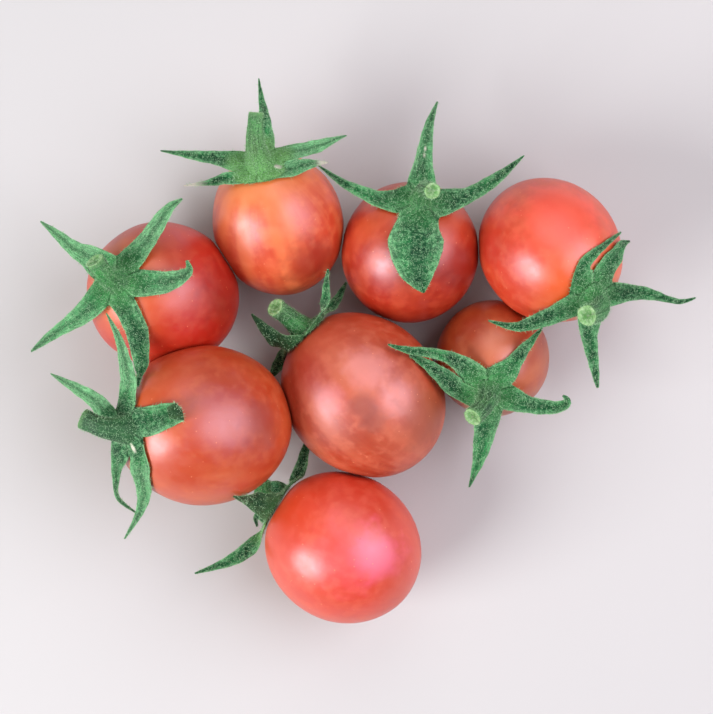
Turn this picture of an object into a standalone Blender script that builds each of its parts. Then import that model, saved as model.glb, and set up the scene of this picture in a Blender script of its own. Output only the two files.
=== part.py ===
"""A truss of cherry tomatoes, picked and lying on a flat surface.

Each tomato is three pieces: the fruit, the star-shaped calyx on its stem end and the cut
pedicel that stands out of the calyx. Units are millimetres until a point becomes a vertex.
Headings are degrees anticlockwise from +X seen from above, and tilts are degrees above level.
"""

import math
from collections import namedtuple

import bmesh
import bpy
from mathutils import Quaternion, Vector
from mathutils.geometry import interpolate_bezier

MM = 0.001

# Fruit skin
RINGS = 13            # profile points from the stem end to the blossom end
STEPS = 26            # facets round the fruit
DIMPLE_DEPTH = 0.9    # hollow that the calyx sits in
DIMPLE_RADIUS = 3.5
PRESSED_FLAT = 0.3    # how far a fruit that carries weight is flattened where it rests

# Calyx
LEAF_THICKNESS = 0.7
DISC_RADIUS = 4.0     # where the sepals part from one another
HUB_SINK = 0.15       # middle of the calyx, measured down from the end of the fruit's axis
KEEL = 0.25           # how far a sepal's midrib lies below its edges
TIP_WIDTH = 0.7
SEPAL_ROWS = 8
TWISTED_BY = 0.5      # fraction of its length by which a sepal has its whole twist
SKIN_CLEARANCE = 0.75  # from the skin to the middle of a leaf's thickness
FLOOR_CLEARANCE = 0.8

# Pedicel
PEDICEL_GAP = 0.35
PEDICEL_FOOT = 0.8    # straight length where it leaves the calyx
PEDICEL_FLARE = 1.45  # width at the calyx, as a multiple of the cut end's
PEDICEL_SEGMENTS = 7

# One sepal: where it leaves the disc, where its tip lies from the calyx's middle, and its width.
# bow is how far its middle arches away from the fruit, and twist turns its blade over, in degrees.
Sepal = namedtuple("Sepal", "root heading reach rise width bow twist", defaults=(0.0,))

# One pedicel: where its cut end lies from the calyx's middle, and the radius of the cut end.
Pedicel = namedtuple("Pedicel", "heading reach rise radius")

# One tomato: its place and the height of its underside above the surface, half its length and
# half its width, the way its stem end points, its skin, and its green pieces.
Tomato = namedtuple("Tomato", "x y lift half_length half_width heading tilt skin pedicel sepals")

TRUSS = {
    "upper_left": Tomato(
        -35.2, 11.8, 0.0, 14.8, 12.4, 168, 66, "red_skin",
        Pedicel(136, 4.6, 5.0, 1.5),
        (
            Sepal(140, 142.7, 17.6, -5.0, 4.2, 0.5),
            Sepal(214, 217.7, 19.9, -5.0, 4.4, 0.5),
            Sepal(286, 282.9, 19.4, -1.5, 4.4, 0.0),
            Sepal(0, 10.0, 12.4, 2.5, 4.6, 0.4),
            Sepal(62, 50.9, 18.1, 1.5, 4.3, 0.0),
        ),
    ),
    "top_left": Tomato(
        -14.0, 23.7, 0.5, 13.8, 11.2, 106, 42, "red_skin",
        Pedicel(93, 8.6, 3.5, 1.4),
        (
            Sepal(97, 92.6, 16.2, -7.0, 4.0, 0.8),
            Sepal(168, 170.3, 18.0, -4.0, 4.2, 0.8),
            Sepal(234, 194.8, 13.9, -1.0, 3.6, 0.5),
            Sepal(316, 1.0, 10.8, 1.2, 4.4, 0.0),
            Sepal(26, 19.2, 16.0, -1.0, 4.2, 0.4),
        ),
    ),
    "top_middle": Tomato(
        9.5, 18.6, 0.0, 13.1, 12.1, 80, 50, "red_skin",
        Pedicel(48, 2.8, 7.5, 1.6),
        (
            Sepal(80, 79.4, 18.6, -6.0, 4.2, 0.6),
            Sepal(155, 158.7, 19.2, -3.2, 3.6, 0.4),
            Sepal(269, 271.4, 15.4, 3.0, 9.6, 0.6),
            Sepal(33, 25.5, 20.4, -3.0, 3.6, 0.6),
        ),
    ),
    "top_right": Tomato(
        34.3, 19.2, 3.2, 14.2, 12.3, 306, 42, "coral_skin",
        Pedicel(232, 3.4, 8.0, 1.55),
        (
            Sepal(128, 69.0, 12.6, -3.0, 3.4, 1.0),
            Sepal(212, 192.0, 18.8, -1.0, 3.6, 0.4),
            Sepal(276, 273.1, 15.5, -7.0, 4.2, 0.6),
            Sepal(353, 0.8, 17.7, -5.0, 3.6, 0.8),
            Sepal(60, 56.0, 11.5, -5.5, 4.2, 0.5),
        ),
    ),
    "small_right": Tomato(
        24.7, -0.5, 0.0, 11.0, 9.85, 254, 58, "orange_skin",
        Pedicel(235, 5.3, 5.5, 1.35),
        (
            Sepal(56, 50.0, 14.2, 2.4, 4.0, 0.0),
            Sepal(128, 153.0, 19.4, 5.4, 3.6, 0.6),
            Sepal(190, 160.0, 14.8, 3.6, 4.0, 0.2),
            Sepal(268, 260.1, 17.5, -5.0, 4.4, 0.6),
            Sepal(342, 355.2, 15.0, -2.0, 3.6, 0.6),
        ),
    ),
    "middle": Tomato(
        1.35, -6.7, 0.0, 15.7, 13.0, 134, 8, "orange_skin",
        Pedicel(139, 6.5, 3.2, 1.5),
        (
            Sepal(264, 160.5, 9.8, 1.0, 4.0, 0.0, -75),
            Sepal(4, 68.5, 12.1, 4.0, 3.8, 0.0, 60),
            Sepal(64, 49.1, 11.6, -6.0, 3.4, 0.4, 60),
            Sepal(124, 136.0, 5.4, -8.0, 3.6, 0.4),
            Sepal(194, 233.0, 8.8, -6.5, 3.4, 0.4, -60),
        ),
    ),
    "lower_left": Tomato(
        -27.0, -12.8, 4.4, 16.0, 13.5, 178, 40, "red_skin",
        Pedicel(166, 7.6, 1.6, 1.6),
        (
            Sepal(100, 99.6, 20.2, 1.0, 4.2, 0.0),
            Sepal(160, 145.5, 16.7, -3.0, 3.6, 0.6),
            Sepal(234, 256.0, 12.9, -8.0, 3.6, 1.0),
            Sepal(306, 265.2, 19.5, -8.0, 4.0, 1.0),
            Sepal(18, 18.2, 9.8, 3.0, 5.2, 0.4),
        ),
    ),
    "bottom": Tomato(
        -2.3, -34.2, 0.0, 14.5, 13.3, 148, -5, "coral_skin",
        Pedicel(122, 4.8, -1.4, 1.4),
        (
            Sepal(323, 164.3, 8.3, 3.0, 4.4, 0.8),
            Sepal(38, 63.0, 11.8, -2.0, 4.0, 0.4, 60),
            Sepal(108, 120.0, 7.0, -7.0, 3.6, 0.4),
            Sepal(176, 231.0, 6.6, -8.6, 3.4, 0.4),
            Sepal(248, 219.8, 19.1, 0.0, 4.2, 0.0, -75),
        ),
    ),
}

# Base colour, roughness and metallic value of each finish
FINISHES = {
    "red_skin": ((0.62, 0.095, 0.045), 0.32, 0.0),
    "coral_skin": ((0.72, 0.12, 0.065), 0.30, 0.0),
    "orange_skin": ((0.60, 0.15, 0.055), 0.34, 0.0),
    "calyx_green": ((0.055, 0.24, 0.085), 0.65, 0.0),
    "pedicel_green": ((0.11, 0.33, 0.10), 0.60, 0.0),
}


def remove_everything():
    for thing in list(bpy.data.objects):
        bpy.data.objects.remove(thing, do_unlink=True)


def make_collection(name):
    collection = bpy.data.collections.new(name)
    bpy.context.scene.collection.children.link(collection)
    return collection


def make_material(name, finish):
    colour, roughness, metallic = finish
    material = bpy.data.materials.new(name)
    material.use_nodes = True
    shader = material.node_tree.nodes["Principled BSDF"]
    shader.inputs["Base Color"].default_value = (*colour, 1.0)
    shader.inputs["Roughness"].default_value = roughness
    shader.inputs["Metallic"].default_value = metallic
    return material


def direction(heading, tilt=0.0):
    turn = math.radians(heading)
    up = math.radians(tilt)
    return Vector((math.cos(up) * math.cos(turn), math.cos(up) * math.sin(turn), math.sin(up)))


def stem_axis(tomato):
    return direction(tomato.heading, tomato.tilt)


def half_height(tomato):
    """Height of the fruit's middle above its underside."""
    rise = math.radians(tomato.tilt)
    return math.hypot(tomato.half_length * math.sin(rise), tomato.half_width * math.cos(rise))


def fruit_centre(tomato):
    pressed = 0.0 if tomato.lift else PRESSED_FLAT
    return Vector((tomato.x, tomato.y, half_height(tomato) + tomato.lift - pressed))


def calyx_centre(tomato):
    return fruit_centre(tomato) + stem_axis(tomato) * (tomato.half_length - HUB_SINK)


def dimple(radius):
    return DIMPLE_DEPTH * math.exp(-((radius / DIMPLE_RADIUS) ** 2))


def fruit_profile(tomato):
    """Half outline from the stem end down to the blossom end, on the +X side."""
    points = []
    for ring in range(RINGS):
        angle = math.pi * ring / (RINGS - 1)
        radius = tomato.half_width * math.sin(angle)
        height = tomato.half_length * math.cos(angle)
        if angle < math.pi / 2:
            height -= dimple(radius)
        points.append((radius, height))
    points[0] = (0.0, points[0][1])
    points[-1] = (0.0, points[-1][1])
    return points


def add_object(name, data, collection, material, parent):
    thing = bpy.data.objects.new(name, data)
    data.materials.append(material)
    collection.objects.link(thing)
    thing.parent = parent
    return thing


def make_fruit(name, tomato, collection, material, parent, surface):
    profile = fruit_profile(tomato)
    mesh = bpy.data.meshes.new(name)
    points = [(radius * MM, 0.0, height * MM) for radius, height in profile]
    mesh.from_pydata(points, [(i, i + 1) for i in range(len(points) - 1)], [])
    fruit = add_object(name, mesh, collection, material, parent)
    fruit.location = fruit_centre(tomato) * MM
    fruit.rotation_euler = stem_axis(tomato).to_track_quat("Z", "Y").to_euler()
    turn = fruit.modifiers.new("turn", "SCREW")
    turn.steps = STEPS
    turn.render_steps = STEPS
    turn.use_merge_vertices = True
    turn.merge_threshold = 1e-6
    if not tomato.lift:
        press = fruit.modifiers.new("pressed_flat", "BOOLEAN")
        press.operation = "DIFFERENCE"
        press.solver = "EXACT"
        press.object = surface
    return fruit


def keep_clear(point):
    """Moves a point of a leaf out to where it rests on the fruits and above the surface."""
    for tomato in TRUSS.values():
        centre = fruit_centre(tomato)
        offset = point - centre
        along = offset.dot(stem_axis(tomato))
        across = (offset - stem_axis(tomato) * along).length
        distance = offset.length
        squash = math.hypot(along / tomato.half_length, across / tomato.half_width)
        skin = distance / squash
        if along > 0:
            skin -= dimple(across)
        if distance < skin + SKIN_CLEARANCE:
            point = centre + offset * ((skin + SKIN_CLEARANCE) / distance)
    point.z = max(point.z, FLOOR_CLEARANCE)
    return point


def disc_direction(tomato, root):
    """Unit vector across the calyx's disc; root turns it as a heading does on a level disc."""
    axis = stem_axis(tomato)
    side = Vector((0.0, 0.0, 1.0)).cross(axis).normalized()
    downhill = side.cross(axis)
    turn = math.radians(root - tomato.heading)
    return downhill * math.cos(turn) + side * math.sin(turn)


def sepal_outline(sepal, along):
    """Width of a sepal at a fraction of its length."""
    taper = (1.0 - along) ** 0.9 * (1.0 + 0.55 * along)
    return TIP_WIDTH + (sepal.width - TIP_WIDTH) * taper


def sepal_rows(tomato, sepal):
    """Left edge, midrib and right edge of a sepal at each row out to its tip."""
    axis = stem_axis(tomato)
    hub = calyx_centre(tomato)
    outward = disc_direction(tomato, sepal.root)
    start = hub + outward * DISC_RADIUS
    tip = hub + direction(sepal.heading) * sepal.reach + Vector((0.0, 0.0, sepal.rise))
    third = (tip - start).length / 3.0
    leave = start + outward * third + axis * sepal.bow
    arrive = tip + (leave - tip).normalized() * third
    path = interpolate_bezier(start, leave, arrive, tip, SEPAL_ROWS + 1)
    rows = []
    face = axis
    for i in range(1, len(path)):
        tangent = (path[i] - path[i - 1]).normalized()
        face = (face - tangent * face.dot(tangent)).normalized()
        along = i / SEPAL_ROWS
        twist = math.radians(sepal.twist) * min(1.0, along / TWISTED_BY)
        blade = Quaternion(tangent, twist) @ face
        half = blade.cross(tangent) * (sepal_outline(sepal, along) / 2.0)
        keel = blade * (KEEL * (1.0 - along))
        row = (path[i] + half, path[i] - keel, path[i] - half)
        rows.append([keep_clear(point) for point in row])
    return rows


def make_calyx(name, tomato, collection, material, parent):
    """A disc that parts into sepals, as one open surface given its thickness."""
    shape = bmesh.new()

    def add_point(point):
        return shape.verts.new(point * MM)

    sepals = sorted(tomato.sepals, key=lambda sepal: sepal.root % 360)
    roots = [sepal.root % 360 for sepal in sepals]
    hub = calyx_centre(tomato)
    middle = add_point(keep_clear(hub.copy()))
    notches = []
    for i, root in enumerate(roots):
        gap = (roots[i - 1] - root) % 360 - 360
        halfway = disc_direction(tomato, root + gap / 2.0)
        notches.append(add_point(keep_clear(hub + halfway * DISC_RADIUS)))
    for i, sepal in enumerate(sepals):
        right = notches[i]
        left = notches[(i + 1) % len(sepals)]
        outward = disc_direction(tomato, sepal.root)
        rib = add_point(keep_clear(hub + outward * DISC_RADIUS))
        shape.faces.new((middle, right, rib))
        shape.faces.new((middle, rib, left))
        for row in sepal_rows(tomato, sepal):
            next_left, next_rib, next_right = [add_point(point) for point in row]
            shape.faces.new((rib, right, next_right, next_rib))
            shape.faces.new((left, rib, next_rib, next_left))
            left, rib, right = next_left, next_rib, next_right
    mesh = bpy.data.meshes.new(name)
    shape.to_mesh(mesh)
    shape.free()
    mesh.shade_smooth()
    calyx = add_object(name, mesh, collection, material, parent)
    leaf = calyx.modifiers.new("leaf", "SOLIDIFY")
    leaf.thickness = LEAF_THICKNESS * MM
    leaf.offset = 0.0
    return calyx


def make_pedicel(name, tomato, collection, material, parent):
    axis = stem_axis(tomato)
    hub = calyx_centre(tomato)
    stem = tomato.pedicel
    start = hub + axis * (LEAF_THICKNESS / 2.0 + PEDICEL_GAP)
    end = hub + direction(stem.heading) * stem.reach + Vector((0.0, 0.0, stem.rise))
    foot = start + axis * PEDICEL_FOOT
    third = (end - foot).length / 3.0
    leave = foot + axis * third
    arrive = end + (leave - end).normalized() * third
    path = [start] + interpolate_bezier(foot, leave, arrive, end, PEDICEL_SEGMENTS)
    curve = bpy.data.curves.new(name, "CURVE")
    curve.dimensions = "3D"
    curve.bevel_depth = stem.radius * MM
    curve.bevel_resolution = 3
    curve.use_fill_caps = True
    line = curve.splines.new("POLY")
    line.points.add(len(path) - 1)
    for i, point in enumerate(path):
        along = i / PEDICEL_SEGMENTS
        line.points[i].co = (*(point * MM), 1.0)
        line.points[i].radius = 1.0 + (PEDICEL_FLARE - 1.0) * (1.0 - along) ** 3
    return add_object(name, curve, collection, material, parent)


def make_surface_cutter(collection):
    """The space below the surface that the fruits rest on."""
    bpy.ops.mesh.primitive_cube_add(size=1.0, location=(0.0, 0.0, -0.5))
    cutter = bpy.context.object
    cutter.name = "surface_cutter"
    for other in list(cutter.users_collection):
        other.objects.unlink(cutter)
    collection.objects.link(cutter)
    cutter.hide_render = True
    cutter.display_type = "WIRE"
    return cutter


def stand_on_origin(root, parts):
    """Shifts the truss so that the middle of its box is above the origin."""
    bpy.context.view_layer.update()
    graph = bpy.context.evaluated_depsgraph_get()
    corners = []
    for part in parts:
        shown = part.evaluated_get(graph)
        mesh = shown.to_mesh()
        corners += [shown.matrix_world @ vertex.co for vertex in mesh.vertices]
        shown.to_mesh_clear()
    for axis in (0, 1):
        values = [corner[axis] for corner in corners]
        root.location[axis] = -(min(values) + max(values)) / 2.0


def build():
    remove_everything()
    parts = make_collection("truss_of_tomatoes")
    cutters = make_collection("cutters")
    surface = make_surface_cutter(cutters)
    root = bpy.data.objects.new("truss", None)
    parts.objects.link(root)
    materials = {name: make_material(name, finish) for name, finish in FINISHES.items()}
    made = []
    for place, tomato in TRUSS.items():
        skin = materials[tomato.skin]
        made += [
            make_fruit(f"fruit_{place}", tomato, parts, skin, root, surface),
            make_calyx(f"calyx_{place}", tomato, parts, materials["calyx_green"], root),
            make_pedicel(f"pedicel_{place}", tomato, parts, materials["pedicel_green"], root),
        ]
    stand_on_origin(root, made)


build()
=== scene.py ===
# A truss of cherry tomatoes, picked and laid on a pale table. Lengths are millimetres until they
# reach a mesh. Headings are degrees anticlockwise from +X seen from above, tilts are above level.
import math
import random

import bmesh
import bpy
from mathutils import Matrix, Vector, noise


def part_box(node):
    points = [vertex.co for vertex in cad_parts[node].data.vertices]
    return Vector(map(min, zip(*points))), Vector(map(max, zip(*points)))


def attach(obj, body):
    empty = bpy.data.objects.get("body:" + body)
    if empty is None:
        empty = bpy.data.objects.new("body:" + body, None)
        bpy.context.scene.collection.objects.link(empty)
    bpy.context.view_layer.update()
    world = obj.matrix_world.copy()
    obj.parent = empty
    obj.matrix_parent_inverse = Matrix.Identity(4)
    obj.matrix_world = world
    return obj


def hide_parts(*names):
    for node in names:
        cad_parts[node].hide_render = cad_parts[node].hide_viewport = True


mm = 0.001
up = Vector((0.0, 0.0, 1.0))

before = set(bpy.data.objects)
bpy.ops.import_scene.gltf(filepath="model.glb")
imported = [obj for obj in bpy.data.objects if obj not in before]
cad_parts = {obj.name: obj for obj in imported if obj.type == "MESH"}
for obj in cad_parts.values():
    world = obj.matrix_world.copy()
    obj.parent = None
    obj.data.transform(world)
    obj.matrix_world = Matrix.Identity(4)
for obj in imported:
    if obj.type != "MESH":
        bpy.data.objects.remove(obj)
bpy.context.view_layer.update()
print("frame loaded:", len(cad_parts), "nodes")

# Each tomato: half its length and width, where its stem end points, and its green parts.
# A sepal leaves the calyx's disc at "root" and runs out through its stations: heading, reach and
# rise from the middle of the calyx, then the blade's width. "fuller" is how the skin differs from
# the CAD fruit, "hug" how closely the disc follows that skin, "paleHub" how yellow the disc is,
# "hubTone" and "tone" how light the greens are, and "flecks" are painted glints: x, y, strength.
# A sepal's tone and a calyx's hubTone are partly the green's own and partly painted light and shade:
# the sepals that dip down between fruits are the darkest.
tomatoes = {
    "upper_left": {
        "cadHalf": (14.8, 12.4), "heading": 168, "tilt": 66,
        "fuller": {"shift": (0.90, -0.84), "halfWidth": 12.88},
        "stem": {"heading": 136, "reach": 4.6, "rise": 5.0, "radius": 1.5},
        "sepals": [
            {"root": 138, "tone": 1, "stations": [
                (144, 9, -1.8, 2.9), (143, 13.5, -3.4, 1.7), (143, 17.5, -5, 0.3)]},
            {"root": 225, "tone": 0.75, "stations": [
                (223, 8.2, -1.5, 3.7), (219, 13.3, -3.2, 2.2), (218, 17, -4.2, 1.4),
                (218, 19.8, -5, 0.3)]},
            {"root": 286, "tone": 0.15, "stations": [
                (293, 7.6, 0.2, 4.2), (288, 12.3, -0.6, 3.4), (285, 16, -0.6, 2.2),
                (284, 19.4, 1.0, 0.5)]},
            {"root": 0, "tone": 0.75, "stations": [
                (355, 5.7, 1.4, 4.5), (357, 8, 1.3, 3.9), (1, 10.1, 1.6, 3.1), (5, 12.1, 2.8, 2),
                (9, 13.0, 4.2, 1.2), (15, 12.7, 5.0, 0.4)]},
            {"root": 62, "tone": 0.9, "stations": [
                (53, 7.7, 0.8, 3.4), (54, 12.4, 1.2, 2.7), (54, 15.6, 1.4, 1.7), (51, 18, 1.5, 0.3)]},
        ],
    },
    "top_left": {
        "cadHalf": (13.8, 11.2), "heading": 106, "tilt": 42,
        "fuller": {"shift": (-0.01, 0.03), "halfWidth": 11.63},
        "stem": {"heading": 93, "reach": 8.6, "rise": 3.5, "radius": 1.2, "flare": 0.95},
        "flecks": [(-13.8, 31.9, 2.5)], "hubTone": 0.9, "paleHub": 0.6,
        "sepals": [
            {"root": 90, "tone": 0.5, "stations": [
                (86, 8.6, -4, 2.1), (90, 12, -5.4, 1.1), (92, 16, -7, 0.2)]},
            {"root": 168, "tone": 0.45, "stations": [
                (170, 7.5, -1.5, 2.6), (171, 10.8, -2.2, 2), (171, 14.2, -3.2, 1.1),
                (171, 18, -4, 0.2)]},
            {"root": 228, "tone": 0.5, "stations": [
                (202, 6.2, 0.2, 2.3), (200, 8.4, -0.6, 1.6), (198, 10.2, -1.0, 0.9),
                (195, 13.9, -1.2, 0.2)], "dryFrom": 0.58},
            {"root": 316, "tone": 0.75, "stations": [
                (352, 5.6, 1.5, 3.1), (359, 8, 1.2, 2.2), (1, 9.8, 1.3, 1.1),
                (1, 11.8, 1.7, 0.2)], "dryFrom": 0.75},
            {"root": 26, "tone": 1, "stations": [
                (20, 7.4, -0.2, 2.7), (18, 10.8, -0.4, 2.3), (19, 13.4, -0.8, 1.2), (19, 16, -1, 0.2)]},
        ],
    },
    "top_middle": {
        "cadHalf": (13.1, 12.1), "heading": 80, "tilt": 50,
        "fuller": {"shift": (-0.07, 0.09), "halfWidth": 12.29},
        "stem": {"heading": 40, "reach": 2.4, "rise": 7.5, "radius": 1.3},
        "flecks": [(11.6, 35.9, 1.2), (11.3, 34.8, 0.8)], "hubTone": 0.3,
        "sepals": [
            {"root": 82, "tone": 0.7, "stations": [
                (85, 6.9, -3.2, 3.4), (84, 10.4, -4.2, 2.6), (83, 14.5, -5.2, 1.6),
                (80, 18.7, -6, 0.3)]},
            {"root": 160, "tone": 0.5, "stations": [
                (177, 6.2, -0.9, 3.5), (170, 9.4, -1.6, 2.4), (165, 13.8, -2.4, 1.5),
                (159, 19.2, -3.2, 0.2)]},
            {"root": 265, "tone": 0.2, "stations": [
                (262, 5.6, 3.2, 9.9), (264, 8, 3.4, 9.6), (267, 11.4, 3.0, 7.4), (270, 14, 3.0, 4),
                (272, 15.8, 3.1, 0.3)]},
            {"root": 12, "tone": 0.25, "stations": [
                (8, 7.9, -0.9, 2.9), (16, 12.4, -1.6, 2.5), (20, 15.5, -2.2, 1.7),
                (25, 20.3, -3, 0.2)]},
        ],
    },
    "top_right": {
        "cadHalf": (14.2, 12.3), "heading": 306, "tilt": 42,
        "fuller": {"shift": (-0.08, -0.25), "halfWidth": 12.22},
        "stem": {"heading": 248, "reach": 4.0, "rise": 8.0, "radius": 1.6},
        "flecks": [(41.9, 9.3, 2.5), (41.4, 8.7, 2)], "hubTone": 0.35,
        "sepals": [
            {"root": 132, "tone": 0.4, "stations": [
                (115, 4.8, 3.7, 2.9), (94, 6.5, 3.2, 1.9), (77, 8.6, 1.7, 1.2), (68, 10.6, -0.4, 0.8),
                (63, 12.4, -3, 0.3)]},
            {"root": 212, "tone": 0.35, "stations": [
                (208, 7.7, -0.2, 3.1), (206, 10.6, -0.8, 2.7), (204, 13.7, -1, 1.7),
                (199, 15.9, -1, 1), (194, 18.2, -0.6, 0.3)]},
            {"root": 276, "tone": 0.45, "stations": [
                (271, 6.6, -3.7, 3.2), (274, 9.9, -4.8, 2.3), (276, 13.1, -5.9, 1.6),
                (277, 16.3, -7, 0.5)]},
            {"root": 353, "tone": 0.15, "stations": [
                (4, 6.8, -1.9, 2.9), (2, 10, -2.7, 2.3), (358, 13.2, -3.6, 1.3), (356, 16.5, -4.6, 0.9),
                (359, 18.9, -5, 0.3)]},
            {"root": 60, "tone": 0.35, "stations": [
                (61, 5.6, 1.3, 3.8), (59, 7.8, 0.2, 3.3), (58, 9.9, -1.8, 2.2), (55, 11.4, -4, 0.9),
                (52, 12.1, -5, 0.3)]},
        ],
    },
    "small_right": {
        "cadHalf": (11.0, 9.85), "heading": 254, "tilt": 58,
        "fuller": {"shift": (-0.20, 0.32), "halfWidth": 10.16},
        "stem": {"heading": 235, "reach": 5.3, "rise": 6.0, "radius": 1.5}, "hubTone": 0.4,
        "sepals": [
            {"root": 54, "tone": 0.35, "stations": [
                (48, 6, 1.7, 3.1), (50, 8.8, 1.7, 2.4), (50, 11.5, 2, 1.4), (50, 14.6, 2.4, 0.3)]},
            {"root": 130, "tone": 0.45, "stations": [
                (134, 6.8, 2.1, 3.3), (141, 10, 3.2, 2), (148.3, 13.2, 4.3, 1.7),
                (153.3, 16.1, 5.1, 1.3), (155, 19.5, 5.6, 0.3)]},
            {"root": 186, "tone": 0.5, "stations": [
                (166, 7, 1.4, 3.6), (159, 9.7, 2.3, 2.6), (155.6, 12.4, 3.0, 1.7),
                (155, 15.3, 3.4, 0.5)]},
            {"root": 270, "tone": 0.4, "stations": [
                (267, 6.9, -2.7, 3.9), (265, 10.1, -3.7, 3.2), (263, 13.1, -4.5, 1.9),
                (260, 17.4, -5.2, 0.3)]},
            {"root": 340, "tone": 0.3, "stations": [
                (341, 6.7, -0.6, 3.1), (344, 9.9, -1, 2.8), (347, 12.5, -0.7, 2.2),
                (351, 14.0, 0.6, 1.7), (355, 14.0, 1.9, 1), (357, 12.9, 2.4, 0.4)]},
        ],
    },
    "middle": {
        "cadHalf": (15.7, 13.0), "heading": 134, "tilt": 8, "hug": 0.9,
        "fuller": {"shift": (-0.07, -0.14), "halfWidth": 13.66},
        "stem": {"heading": 139, "reach": 6.5, "rise": 3.2, "radius": 1.5},
        "sepals": [
            {"root": 262, "tone": 0.3, "stations": [
                (189, 5.5, 2.4, 2.7), (171, 7.5, 2.2, 1.6), (161, 9.7, 1.8, 0.3)]},
            {"root": 4, "tone": 0.3, "stations": [
                (47, 5, 3.1, 2.4), (56, 7.2, 3.7, 1.7), (64, 9.4, 4.1, 1.1), (68, 11.9, 4.4, 0.3)]},
            {"root": 64, "tone": 0.15, "stations": [
                (43, 5.2, -2.4, 2.2), (43, 7, -4, 1.9), (46, 9.1, -5.5, 1.4), (50, 11.8, -6.5, 0.4)]},
            {"root": 124, "tone": 0.1, "stations": [
                (132, 4.5, -6.5, 1.5), (135, 6.2, -8.5, 0.4)]},
            {"root": 194, "tone": 0.25, "stations": [
                (230, 5.8, -4.4, 2.8), (232, 7.7, -5.6, 2.2), (233, 10.5, -7, 0.6)]},
        ],
    },
    "lower_left": {
        "cadHalf": (16.0, 13.5), "heading": 178, "tilt": 40,
        "fuller": {"shift": (0.32, 0.82), "halfWidth": 14.04},
        "stem": {"heading": 166, "reach": 7.6, "rise": 1.6, "radius": 1.6},
        "flecks": [(-38.5, -16.8, 2.5)], "hubTone": 0.0,
        "sepals": [
            {"root": 98, "tone": 0.9, "stations": [
                (87, 7.6, 0.8, 3.1), (91, 11.2, 1.2, 2.3), (94, 14.8, 1.4, 1.5), (97, 17.5, 1.3, 0.9),
                (100, 20.2, 1, 0.2)]},
            {"root": 158, "tone": 1, "stations": [
                (139, 7.1, -2.0, 2.9), (142, 10.9, -2.2, 2.1), (144, 14.2, -2.6, 1.1),
                (145, 16.6, -3, 0.2)]},
            {"root": 240, "tone": 0.7, "stations": [
                (251, 6.6, -3.2, 2.2), (254, 8.9, -4.5, 1.4), (257, 11.8, -6.4, 0.7),
                (261, 13, -7.4, 0.8), (272, 14.9, -9, 0.3)]},
            {"root": 304, "tone": 0.8, "stations": [
                (290.5, 7.2, 0.6, 4.2), (285, 10.2, -2.4, 2.9), (280, 12.8, -5, 2.2),
                (274, 15.5, -7, 1.2), (266, 19.5, -8, 0.3)]},
            {"root": 20, "tone": 0.6, "stations": [
                (20, 4.6, 3.6, 5.2), (18, 6.5, 4.2, 4.7), (18, 8.6, 4.6, 4.1), (18, 9.8, 5.2, 3.5),
                (19, 10.1, 6.3, 3.4), (20, 9.3, 7.2, 3), (21, 8.0, 7.3, 1.8)]},
        ],
    },
    "bottom": {
        "cadHalf": (14.5, 13.3), "heading": 148, "tilt": -5, "hug": 0.9,
        "fuller": {"shift": (-0.10, 0.19), "halfWidth": 13.2},
        "stem": {"heading": 122, "reach": 4.8, "rise": -1.4, "radius": 1.4},
        "sepals": [
            {"root": 323, "tone": 0.5, "stations": [
                (158, 4.3, 7.0, 3.3), (156, 5.9, 10.2, 1.9), (157, 7.7, 13.4, 0.3)]},
            {"root": 38, "tone": 0.2, "stations": [
                (53, 6.2, -1.2, 2.6), (58, 8.8, -2.2, 2.1), (63, 11.7, -2.6, 1.4),
                (64, 14.2, -3, 0.5)]},
            {"root": 108, "tone": 0.1, "stations": [
                (128, 4.2, -6.2, 1.2), (136, 5.5, -7.6, 0.4)]},
            {"root": 176, "tone": 0.1, "stations": [
                (212, 4.4, -6, 1.3), (230, 5.8, -7.8, 0.4)]},
            {"root": 248, "tone": 0.25, "stations": [
                (243, 5.7, -0.2, 2.2), (239, 8.9, -0.6, 2.9), (232, 12.3, -0.8, 2.3),
                (225, 15.8, -0.8, 1.2), (220, 19.1, -0.8, 0.3)], "yellowBase": True},
        ],
    },
}


def direction(heading, tilt=0.0):
    turn, rise = math.radians(heading), math.radians(tilt)
    return Vector((math.cos(rise) * math.cos(turn), math.cos(rise) * math.sin(turn), math.sin(rise)))


def smooth(t):
    t = min(1.0, max(0.0, t))
    return t * t * (3.0 - 2.0 * t)


def halfExtent(part, length, width):
    # How far an ellipsoid reaches along a direction; part is its own axis's share of that.
    return math.sqrt((length ** 2 - width ** 2) * part ** 2 + width ** 2)


def findMiddles():
    # The CAD fruit's box gives the place; only the blossom end is used, as the stem end is hollow.
    # The skin seen is a little fuller than the CAD's, round the same calyx.
    for place, tomato in tomatoes.items():
        low, high = (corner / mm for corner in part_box("fruit_" + place))
        axis = direction(tomato["heading"], tomato["tilt"])
        length, width = tomato["cadHalf"]
        halves = [halfExtent(part, length, width) for part in axis]
        middle = Vector([low[i] + halves[i] if axis[i] > 0 else high[i] - halves[i] for i in range(3)])
        pressed = fruitShape["pressedFlat"] if low.z < fruitShape["onTable"] else 0.0
        middle.z = low.z + halves[2] - pressed
        hub = middle + axis * (length - calyxShape["sunk"])
        width = tomato["fuller"]["halfWidth"]
        middle.x += tomato["fuller"]["shift"][0]
        middle.y += tomato["fuller"]["shift"][1]
        for _ in range(6):      # the height and the axis settle together
            length = (hub - middle).length + calyxShape["sunk"]
            axis = (hub - middle).normalized()
            middle.z = low.z + halfExtent(axis.z, length, width) - pressed
        disc = (axis + up * calyxShape["discLean"]).normalized()
        side = up.cross(disc).normalized()
        tomato.update(axis=axis, middle=middle, hub=hub, halfLength=length, halfWidth=width,
                      disc=disc, side=side, downhill=side.cross(disc))


def discDirection(tomato, root):
    # A direction across the calyx's disc; root turns it as a heading does on a level disc.
    turn = math.radians(root - tomato["heading"])
    return tomato["downhill"] * math.cos(turn) + tomato["side"] * math.sin(turn)


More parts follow.
